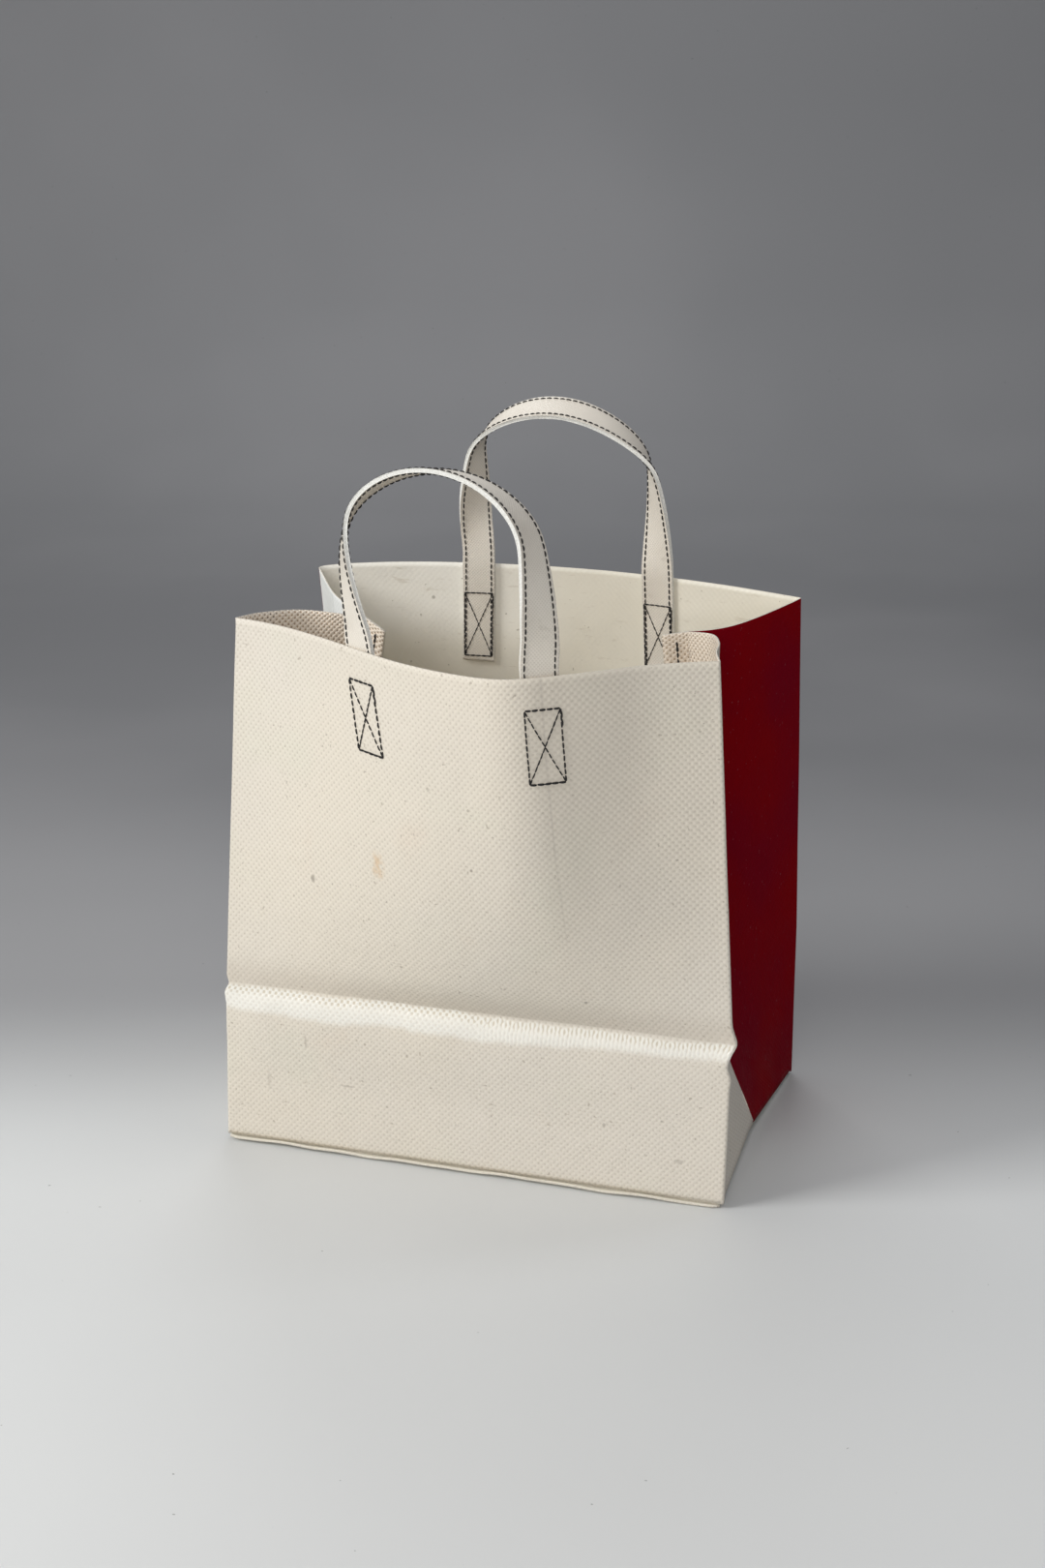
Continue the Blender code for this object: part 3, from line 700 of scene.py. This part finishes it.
class Handle:
    """One strap: sewn ends, hinge line and the arch between them, with the CAD's numbers."""

    def __init__(self, base, point, legs, slants, height, facing, knots, lean, tilt, twist):
        self.facing = facing
        self.bases = [strap_end_place(base, *leg, height, facing) for leg in zip(legs, slants)]
        self.ends = [strap_end_place(point, *leg, height, facing) for leg in zip(legs, slants)]
        self.feet = [end(0.0, -HINGE_ABOVE_RIM, 0.0) for end in self.bases]
        self.axis = (self.feet[1] - self.feet[0]).normalized()
        self.back = Vector((-self.axis.y, self.axis.x, 0.0)).normalized()
        self.span = (self.feet[1] - self.feet[0]).length
        self.knots, self.lean, self.tilt, self.twist = knots, lean, tilt, twist
        self.stations = self.make_stations()

    def centre(self, w):
        pieces = len(self.knots) - 1
        piece = min(int(w * pieces), pieces - 1)
        f = w * pieces - piece
        a, b = self.knots[piece], self.knots[piece + 1]
        weights = (2 * f**3 - 3 * f**2 + 1, f**3 - 2 * f**2 + f, 3 * f**2 - 2 * f**3, f**3 - f**2)
        along = weights[0] * a[0] + weights[1] * a[2] + weights[2] * b[0] + weights[3] * b[2]
        up = weights[0] * a[1] + weights[1] * a[3] + weights[2] * b[1] + weights[3] * b[3]
        inwards = self.back * (-self.facing * self.lean * math.sin(math.pi * w) ** 2)
        return self.feet[0] + self.axis * (along * self.span) + inwards + Z * (0.6 + up * self.span)

    def across(self, w):
        first, last, early, middle = self.twist
        half_wave, full_wave = math.sin(math.pi * w), math.sin(2 * math.pi * w)
        turn = math.radians(mix(first, last, w) + early * full_wave + middle * half_wave)
        flat = self.axis * math.cos(turn) - self.back * math.sin(turn)
        dip = math.radians(self.tilt[0] * half_wave**2 + self.tilt[1] * full_wave)
        return flat * math.cos(dip) + Z * math.sin(dip)

    def make_stations(self):
        """(centre, width direction, normal, distance along), about every 1.5 mm, end to end."""
        leg_steps, loop_steps = 40, 160
        raw = []
        for index, end in enumerate(self.ends):
            leg = []
            for i in range(leg_steps + 1):
                down = mix(STRAP_END_DEPTH, -HINGE_ABOVE_RIM + 3.5, i / leg_steps)
                width = (end(2.0, down, 0.0) - end(-2.0, down, 0.0)).normalized()
                leg.append((end(0.0, down, 0.0), width))
            sign = 1 if self.across(float(index)).dot(leg[-1][1]) > 0 else -1
            leg = [(c, w * sign) for c, w in leg]
            if index == 0:
                raw += leg
                for i in range(loop_steps + 1):
                    w = 0.02 + 0.96 * i / loop_steps
                    raw.append((self.centre(w), self.across(w)))
            else:
                raw += reversed(leg)
        lengths = [0.0]
        for (a, _), (b, _) in zip(raw, raw[1:]):
            lengths.append(lengths[-1] + (b - a).length)
        total, pitch = lengths[-1], 1.5
        number = round(total / pitch)
        even, j = [], 0
        for i in range(number + 1):
            d = total * i / number
            while j < len(lengths) - 2 and lengths[j + 1] < d:
                j += 1
            f = clamp((d - lengths[j]) / max(lengths[j + 1] - lengths[j], 1e-6))
            even.append((raw[j][0].lerp(raw[j + 1][0], f), raw[j][1].lerp(raw[j + 1][1], f)))
        sewn = STRAP_END_DEPTH / pitch - 3
        for _ in range(14):
            smoothed = list(even)
            for i in range(1, number):
                if min(i, number - i) > sewn:
                    before, here, after = even[i - 1 : i + 2]
                    smoothed[i] = tuple((before[k] + here[k] * 2 + after[k]) / 4 for k in (0, 1))
            even = smoothed
        out = []
        for i, (c, w) in enumerate(even):
            tangent = (even[min(i + 1, number)][0] - even[max(i - 1, 0)][0]).normalized()
            w = (w - tangent * w.dot(tangent)).normalized()
            out.append((c, w, w.cross(tangent).normalized(), total * i / number))
        self.length = total
        return out

    def at(self, d, across, out):
        """Point at distance d along the strap, across its width, out from its middle layer."""
        f = clamp(d / self.length) * (len(self.stations) - 1)
        i = min(int(f), len(self.stations) - 2)
        f -= i
        c, w, n = (self.stations[i][k].lerp(self.stations[i + 1][k], f) for k in range(3))
        return c + w * across + n * out


FRONT = Handle(
    front_base, front_point, FRONT_LEGS, FRONT_SLANTS, front_height, -1,
    knots=(
        (0.0, 0.0, -0.12, 0.48), (-0.08, 0.50, 0.08, 0.43), (0.43, 0.79, 0.81, -0.03),
        (0.93, 0.48, 0.11, -0.43), (1.0, 0.0, 0.01, -0.47),
    ),
    lean=10.6, tilt=(7.0, 14.0), twist=(25.9, 147.0, 10.7, -9.5),
)
BACK = Handle(
    back_base, back_point, BACK_LEGS, BACK_SLANTS, back_height, 1,
    knots=(
        (0.0, 0.0, -0.11, 0.48), (-0.01, 0.51, 0.02, 0.39), (0.44, 0.775, 0.71, -0.01),
        (0.97, 0.46, 0.08, -0.44), (1.0, 0.0, 0.01, -0.47),
    ),
    lean=4.9, tilt=(-27.8, 8.3), twist=(-177.0, -343.0, -19.5, -27.0),
)


def swing(item, name, handle):
    """Bakes the piece's transform into its mesh."""
    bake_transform(item)


def make_strap(name, handle):
    """Four layers folded and topstitched; the layers' cut edges show, a little ragged."""
    half, thick = STRAP_WIDTH / 2, STRAP_THICKNESS / 2
    over = (-0.93, -0.6, -0.2, 0.2, 0.6, 0.93)
    layers = (-1.0, -0.52, -0.48, -0.02, 0.02, 0.48, 0.52, 1.0)
    profile = [(u * half, -thick) for u in over] + [("right", v) for v in layers]
    profile += [(u * half, thick) for u in reversed(over)] + [("left", v) for v in reversed(layers)]
    # The profile's points from which a side of the edge starts.
    first = len(over)
    turn = first + len(layers)
    edges = (range(first, turn - 1), range(first + turn, 2 * turn - 1))
    verts, faces, is_edge, uvs = [], [], [], []
    wide = len(profile)
    for i, (_, _, _, d) in enumerate(handle.stations):
        for x, y in profile:
            if x in ("right", "left"):
                side = 1 if x == "right" else -1
                layer = int((y + 1) * 1.999)
                ragged = 0.22 * wobble(d, layer * 40 + side * 9, 9, 31 + handle.facing)
                groove = 0.28 if abs(abs(y) - 0.5) < 0.03 or abs(y) < 0.03 else 0.0
                corner = 0.12 if abs(y) == 1.0 else 0.0
                x, y = side * (half - 0.15 + ragged - groove - corner), y * thick
            verts.append(handle.at(d, x, y))
            uvs.append((x * MM, d * MM))
    for i in range(len(handle.stations) - 1):
        for j in range(wide):
            following = (j + 1) % wide
            ring, further = i * wide, (i + 1) * wide
            faces.append([ring + j, ring + following, further + following, further + j])
            is_edge.append(any(j in edge for edge in edges))
    last = (len(handle.stations) - 1) * wide
    faces.append(list(reversed(range(wide))))
    faces.append([last + j for j in range(wide)])
    is_edge += [True, True]
    item = new_mesh(f"{name}_strap", verts, faces)
    layer = item.data.uv_layers.new(name="cloth")
    for loop in item.data.loops:
        layer.data[loop.index].uv = uvs[loop.vertex_index]
    item.data.materials.append(STRAP_FACE)
    item.data.materials.append(STRAP_EDGE)
    for polygon, edge in zip(item.data.polygons, is_edge):
        polygon.material_index = int(edge)
        polygon.use_smooth = not edge
    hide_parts(name, f"{name}_left_end", f"{name}_right_end")
    swing(item, name, handle)


# ---- stitches -----------------------------------------------------------------------------------


def add_stitch(verts, faces, a, b, up, radius, dip):
    """One stitch: a short thread that leaves the cloth at a and goes back in at b."""
    rings, sides = 6, 7
    along = b - a
    aside = along.normalized().cross(up).normalized()
    base = len(verts)
    for i in range(rings + 1):
        f = i / rings
        arch = math.sin(math.pi * clamp(0.08 + 0.84 * f)) ** 0.45
        middle = a + along * f + up * (mix(-dip, radius * 0.75, arch))
        size = radius * (0.55 + 0.45 * math.sin(math.pi * f) ** 0.5)
        for k in range(sides):
            angle = 2 * math.pi * k / sides
            verts.append(middle + aside * (math.cos(angle) * size) + up * (math.sin(angle) * size))
    for i in range(rings):
        for k in range(sides):
            n = (k + 1) % sides
            ring, further = base + i * sides, base + (i + 1) * sides
            faces.append([ring + k, ring + n, further + n, further + k])
    faces.append([base + k for k in reversed(range(sides))])
    faces.append([base + rings * sides + k for k in range(sides)])


def stitch_row(verts, faces, place, length, radius=THREAD / 2,
               pitch=STITCH_PITCH, size=STITCH_LENGTH, start=0.0):
    """A run of stitches; place(d, lift) gives the point at d along the row, lifted off the cloth."""
    count = int((length - start) / pitch)
    for i in range(count):
        at = start + pitch * (i + 0.5) + rng.uniform(-0.12, 0.12)
        a, b = place(at - size / 2, 0.0), place(at + size / 2, 0.0)
        up = (place(at, 1.0) - place(at, 0.0)).normalized()
        aside = (b - a).cross(up).normalized() * rng.uniform(-0.09, 0.09)
        add_stitch(verts, faces, a + aside, b - aside, up, radius * rng.uniform(0.92, 1.1), radius * 0.6)


def finish_thread(name, verts, faces, replaced):
    item = new_mesh(name, verts, faces)
    item.data.materials.append(THREAD_BLACK)
    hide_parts(replaced)
    return item


ROW_INSET, END_INSET = 2.1, 3.0


def make_edge_rows(name, handle):
    """Topstitching along both edges, on both faces, from sewn end to sewn end."""
    for face, sign in (("top", 1), ("under", -1)):
        for row, side in (("first", -1), ("second", 1)):
            verts, faces = [], []
            across = side * (STRAP_WIDTH / 2 - ROW_INSET)

            def place(d, lift, across=across, sign=sign):
                return handle.at(d + END_INSET, across, sign * (STRAP_THICKNESS / 2 + lift))

            stitch_row(verts, faces, place, handle.length - 2 * END_INSET, start=rng.uniform(0, 1))
            in_cad = f"{name}_{row}_edge_{face}_thread"
            item = finish_thread(f"{name}_{row}_row_{face}", verts, faces, in_cad)
            swing(item, name, handle)


# Width, distance below the rim and height.
BOXES = {
    "front_handle_left": (15.3, 14.6, 32.5), "front_handle_right": (15.6, 14.6, 34.2),
    "back_handle_left": (15.4, 16.4, 35.8), "back_handle_right": (15.4, 15.6, 34.6),
}
BOX_PITCH = 3.1
# Lines between the box's corners, with the thread's weight: top, right, bottom, left, diagonals.
BOX_LINES = {(0, 1): 1.2, (1, 2): 1.0, (2, 3): 1.2, (3, 0): 1.0, (0, 2): 0.82, (1, 3): 0.82}
CLOSED_LINES = ((2, 3), (1, 3))


def make_boxes(name, handle):
    """The crossed boxes that sew the strap ends on, outside the wall and inside on the strap."""
    for end, side_name in zip(handle.ends, ("left", "right")):
        key = f"{name}_{side_name}"
        wide, top, high = BOXES[key]
        corners = [(-wide / 2, top), (wide / 2, top), (wide / 2, top + high), (-wide / 2, top + high)]
        outside = -(STRAP_OFFSET + SHEET / 2)
        for suffix, level, sign, heavy in (("outside", outside, -1, 1.1),
                                           ("inside", STRAP_THICKNESS / 2, 1, 0.85)):
            verts, faces = [], []
            for line, weight in BOX_LINES.items():
                start, stop = (corners[i] for i in line)
                length = math.hypot(stop[0] - start[0], stop[1] - start[1])

                def place(d, lift, start=start, stop=stop, length=length, level=level, sign=sign):
                    f = d / length
                    return end(mix(start[0], stop[0], f), mix(start[1], stop[1], f), level + sign * lift)

                def locked(d, lift, place=place):
                    return place(d + 1.4, lift) + Vector((0.35, 0, 0))

                fitted = length / max(round(length / BOX_PITCH), 1)
                full = 0.97 if line in CLOSED_LINES or suffix == "inside" else 0.84
                radius = THREAD / 2 * (heavy * weight)
                stitch_row(verts, faces, place, length + 0.01, radius, fitted, fitted * full)
                if line == (1, 2):
                    stitch_row(verts, faces, locked, 8.0, THREAD / 2 * heavy, 3.4, 2.9)
            item = finish_thread(f"{key}_box_{suffix}", verts, faces, f"{key}_box_thread_{suffix}")
            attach(item, "bag")


def make_seams():
    """Gusset seams: black stitches along the seam allowance, locked at the top."""
    for side_name, side in (("left", -1), ("right", 1)):
        for face, facing, corner, cut in (("front", -1, front_point, front_height),
                                          ("back", 1, back_point, back_height)):
            verts, faces = [], []
            a = side * (SEAM + ALLOWANCE * (0.62 if side < 0 else 0.45))

            def place(d, lift, a=a, side=side, facing=facing, corner=corner, cut=cut):
                t = cut(side * HALF_WIDTH) - 7.0 - d
                p = sheet_point(corner, cut, facing, a, t)
                flat = sheet_point(corner, cut, facing, a + side * 2.0, t) - p
                normal = flat.cross(Z).normalized()
                if normal.y * facing < 0:
                    normal.negate()
                return p + normal * (SHEET / 2 + lift)

            stitch_row(verts, faces, place, 236.0, THREAD / 2, 3.4, 2.9)
            stitch_row(verts, faces, place, 9.0, THREAD * 0.7, 3.0, 3.3, start=0.4)
            in_cad = f"{side_name}_seam_{face}_thread"
            item = finish_thread(f"{side_name}_seam_{face}_row", verts, faces, in_cad)
            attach(item, "bag")


make_sheets()
make_flaps()
make_ears()
for handle_name, handle in (("front_handle", FRONT), ("back_handle", BACK)):
    make_strap(handle_name, handle)
    make_edge_rows(handle_name, handle)
    make_boxes(handle_name, handle)
make_seams()


# ---- floor, light and camera --------------------------------------------------------------------

# The camera's place in metres, and the way it faces on the floor. Both are fixed.
EYE = Vector((0.3257, -1.0034, 0.4786))
VIEW_PLAN = Vector((-0.3074, 0.9516, 0.0))
FLOOR_DROP = 0.05
HALF_FLOOR = 3200
# The floor's section: distance along VIEW_PLAN and height, in metres.
SWEEP = (
    (-1.6, 0.0), (0.9, 0.0), (1.6, 0.0), (1.9, 0.03), (2.1, 0.12), (2.2, 0.3), (2.25, 0.6), (2.25, 2.6),
)


def make_stage():
    """A floor that curves up into the backdrop, pale near the camera and grey further back; that change is
    painted light falloff, not the floor's own colour.
    """
    n = Nodes("floor", roughness=0.6, specular=0.25)
    dot = n.node("ShaderNodeVectorMath", operation="DOT_PRODUCT")
    n.link(n.node("ShaderNodeNewGeometry").outputs["Position"], dot.inputs[0])
    dot.inputs[1].default_value = VIEW_PLAN
    away = n.math("SUBTRACT", dot.outputs["Value"], EYE.dot(VIEW_PLAN))
    # Painted light: brighter near the camera, darker further back, a little lighter up the backdrop.
    painted_near_light = n.blend(n.between(away, 0.68, 0.88), (0.735, 0.748, 0.745), (0.69, 0.705, 0.705))
    colour = n.blend(n.between(away, 0.94, 1.24), painted_near_light, (0.29, 0.292, 0.30))
    colour = n.blend(n.between(away, 1.24, 1.8), colour, (0.185, 0.187, 0.195))
    colour = n.blend(n.between(away, 2.2, 3.1), colour, (0.25, 0.253, 0.262))
    colour = n.blend(n.between(n.noise(1.4, 3.0), 0.4, 0.7, 0.0, 0.12), colour, (0.5, 0.49, 0.5))
    colour = n.blend(n.between(n.noise(260.0, 1.0), 0.80, 0.82, 0.0, 0.5), colour, (0.1, 0.1, 0.1))
    n.finish(colour)
    aside = Vector((VIEW_PLAN.y, -VIEW_PLAN.x, 0))
    verts = [VIEW_PLAN * y * 1000 + aside * x + Z * (z * 1000 - FLOOR_DROP)
             for y, z in SWEEP for x in (-HALF_FLOOR, HALF_FLOOR)]
    faces = [[2 * i, 2 * i + 1, 2 * i + 3, 2 * i + 2] for i in range(len(SWEEP) - 1)]
    floor = new_mesh("floor", verts, faces)
    floor.data.materials.append(n.material)


def add_light(name, place, aim, size, power, colour):
    data = bpy.data.lights.new(name, "AREA")
    data.shape, data.size, data.size_y = "RECTANGLE", size[0], size[1]
    data.energy, data.color = power, colour
    item = bpy.data.objects.new(name, data)
    item.location = place
    item.rotation_euler = (Vector(aim) - Vector(place)).to_track_quat("-Z", "Y").to_euler()
    bpy.context.scene.collection.objects.link(item)


make_stage()
WHITE = (1.0, 1.0, 1.0)
for light in (
    ("key", (-1.5, -1.2, 1.3), (0, 0, 0.15), (0.9, 0.9), 31.0, (1.0, 0.99, 0.965)),
    ("top", (-0.25, -0.3, 1.7), (0, 0, 0.1), (1.4, 1.2), 3.0, WHITE),
    ("fill", (0.45, -2.1, 0.85), (0, 0, 0.15), (1.0, 1.0), 14.5, (1.0, 0.96, 0.92)),
    ("behind", (-0.6, 1.5, 1.6), (0, 0, 0.15), (1.0, 1.0), 9.0, WHITE),
    ("backdrop", (0.3, 0.3, 1.9), (-0.6, 2.0, 0.7), (1.2, 0.6), 9.0, WHITE),
):
    add_light(*light)
world = bpy.data.worlds.new("studio")
world.use_nodes = True
sky = world.node_tree.nodes["Background"].inputs
sky["Color"].default_value = (0.9, 0.93, 1.0, 1.0)
sky["Strength"].default_value = 0.22
bpy.context.scene.world = world
# The default transform turns the whites grey and the red pink.
bpy.context.scene.view_settings.view_transform = "Standard"

camera = bpy.data.cameras.new("camera")
camera.lens, camera.sensor_width, camera.sensor_fit = 49.02, 36.0, "AUTO"
camera.clip_start = 0.02
view = bpy.data.objects.new("camera", camera)
view.location = EYE
view.rotation_euler = (math.radians(74.11), 0.0, math.radians(17.9))
bpy.context.scene.collection.objects.link(view)
bpy.context.scene.camera = view
